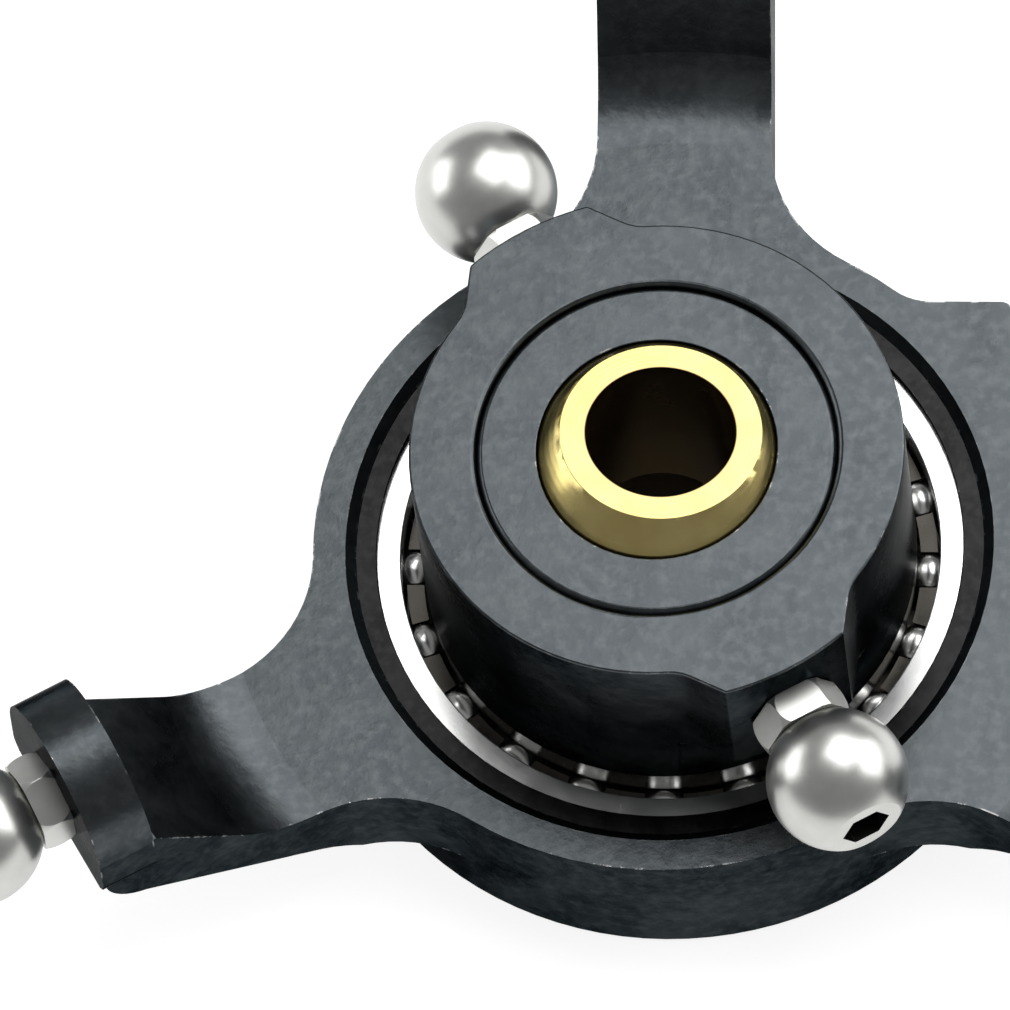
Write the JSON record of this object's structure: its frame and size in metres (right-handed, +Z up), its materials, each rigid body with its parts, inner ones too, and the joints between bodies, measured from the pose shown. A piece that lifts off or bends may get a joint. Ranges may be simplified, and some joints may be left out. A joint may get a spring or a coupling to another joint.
{
  "type": "helicopter swashplate",
  "caption": "Swashplate: a fixed plate with arms and a turning hub on an open ball bearing, both carrying link balls, tilting on a brass ball that slides along the mast.",
  "frame": {"origin": "centre of the uniball, which lies on the swashplate's own axis and in the plane of the link balls", "axes": "+Z up the swashplate's own axis, +Y through the first arm; the mast's axis leans 6.6 degrees from +Z at rest"},
  "size_m": [0.0494, 0.0431, 0.0141],
  "materials": {
    "black_anodised": "black anodised, satin, with bright wear on some edges",
    "slip_liner": "smooth off-white slip liner",
    "brass": "turned, satin",
    "bearing_steel": "ground and polished",
    "cage_steel": "pressed sheet, satin",
    "black_spring_steel": "black oxide",
    "ball_steel": "fine satin, turned and polished",
    "ground_steel": "ground"
  },
  "bodies": {
    "outer_plate": {"outer_plate": "black_anodised", "arm_link_ball_1": "ball_steel", "arm_link_ball_2": "ball_steel", "arm_link_ball_3": "ball_steel", "anti_rotation_pin": "ground_steel", "bearing_outer_race": "bearing_steel", "outer_race_snap_ring": "black_spring_steel"},
    "hub": {"hub": "black_anodised", "upper_ball_seat": "black_anodised", "lower_ball_seat": "black_anodised", "bearing_inner_race": "bearing_steel", "inner_race_snap_ring": "black_spring_steel", "hub_link_ball_1": "ball_steel", "hub_link_ball_2": "ball_steel"},
    "bearing_cage": {"bearing_cage": "cage_steel", "bearing_ball_01": "bearing_steel", "bearing_ball_02": "bearing_steel", "bearing_ball_03": "bearing_steel", "bearing_ball_04": "bearing_steel", "bearing_ball_05": "bearing_steel", "bearing_ball_06": "bearing_steel", "bearing_ball_07": "bearing_steel", "bearing_ball_08": "bearing_steel", "bearing_ball_09": "bearing_steel", "bearing_ball_10": "bearing_steel", "bearing_ball_11": "bearing_steel", "bearing_ball_12": "bearing_steel", "bearing_ball_13": "bearing_steel", "bearing_ball_14": "bearing_steel", "bearing_ball_15": "bearing_steel", "bearing_ball_16": "bearing_steel", "bearing_ball_17": "bearing_steel", "bearing_ball_18": "bearing_steel", "bearing_ball_19": "bearing_steel", "bearing_ball_20": "bearing_steel"},
    "ball_liner": {"ball_liner": "slip_liner"},
    "uniball": {"uniball": "brass"}
  },
  "joints": [
    {"name": "hub_spin", "type": "hinge", "parent": "outer_plate", "child": "hub", "pos_m": [0, 0, 0], "axis": [0, 0, 1], "continuous": true},
    {"name": "cage_spin", "type": "hinge", "parent": "outer_plate", "child": "bearing_cage", "pos_m": [0, 0, 0], "axis": [0, 0, 1], "continuous": true},
    {"name": "liner_tilt", "type": "hinge", "parent": "hub", "child": "ball_liner", "pos_m": [0, 0, 0], "axis": [1, 0, 0], "range_deg": [-4, 16]},
    {"name": "ball_tilt", "type": "hinge", "parent": "ball_liner", "child": "uniball", "pos_m": [0, 0, 0], "axis": [0, 0.9945, -0.1045], "range_deg": [-12.7, 7.3]}
  ],
  "couplings": [
    {"joint": "cage_spin", "follows": "hub_spin", "ratio": 0.45384}
  ]
}
